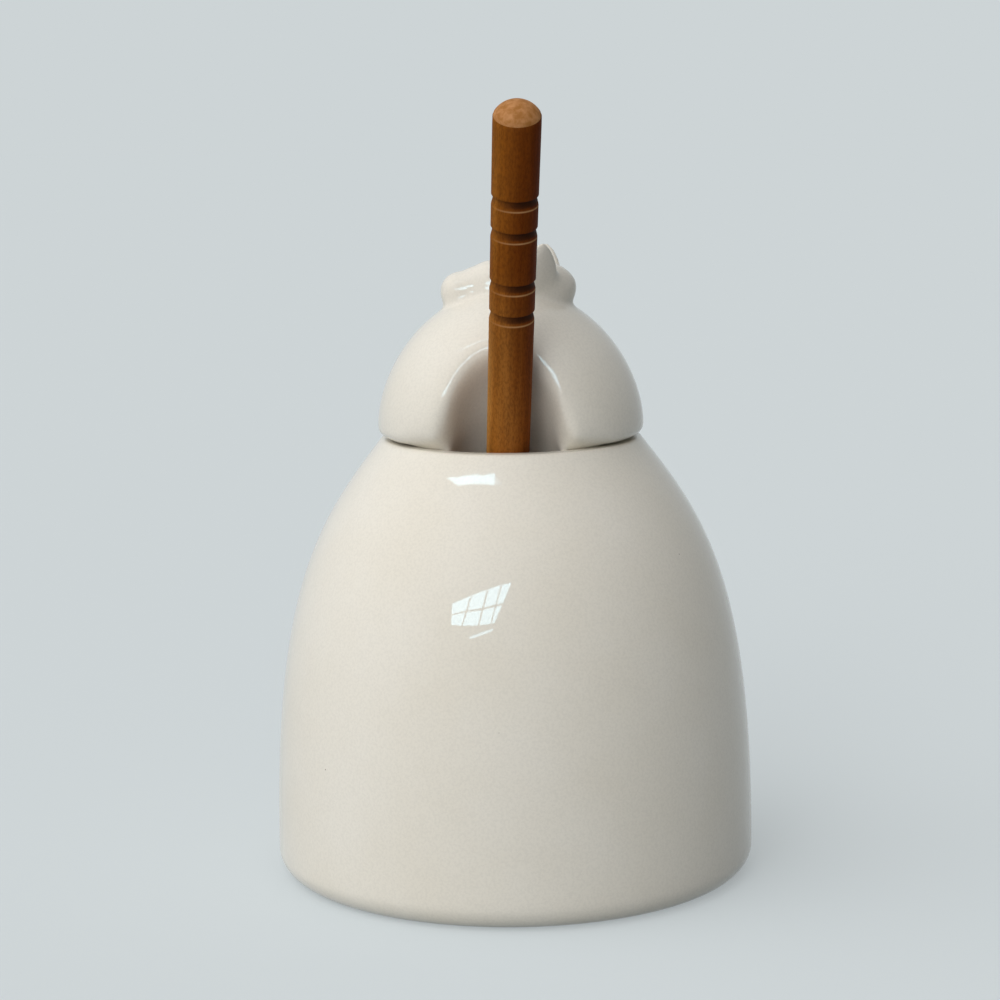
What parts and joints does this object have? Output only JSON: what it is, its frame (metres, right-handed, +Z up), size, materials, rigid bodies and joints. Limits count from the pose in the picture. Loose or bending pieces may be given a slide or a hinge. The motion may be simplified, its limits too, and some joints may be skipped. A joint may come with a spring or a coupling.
{
  "type": "honey pot",
  "caption": "Dome-shaped glazed jar with a loose domed lid, a niche in the lid for the dipper, a bee-shaped knob and a turned wooden dipper with a grooved head.",
  "frame": {"origin": "centre of the jar's foot, on the surface that it stands on", "axes": "+Z up along the jar's axis; -Y towards the lid's niche, where the dipper leans out; -X towards the bee's head"},
  "size_m": [0.1, 0.1, 0.162],
  "materials": {
    "glaze": "glossy warm cream glaze",
    "wood": "oiled reddish brown wood with fine pores"
  },
  "bodies": {
    "jar": {"jar": "glaze"},
    "lid": {"lid": "glaze", "bee_body": "glaze", "bee_wing_near": "glaze", "bee_wing_far": "glaze"},
    "dipper": {"dipper": "wood"}
  },
  "joints": [
    {"name": "lid_lift", "type": "slide", "parent": "jar", "child": "lid", "axis": [0, 0, 1], "range_m": [0, 0.1]},
    {"name": "dipper_pull", "type": "slide", "parent": "jar", "child": "dipper", "axis": [0.0529, -0.3173, 0.9468], "range_m": [0, 0.049]}
  ]
}
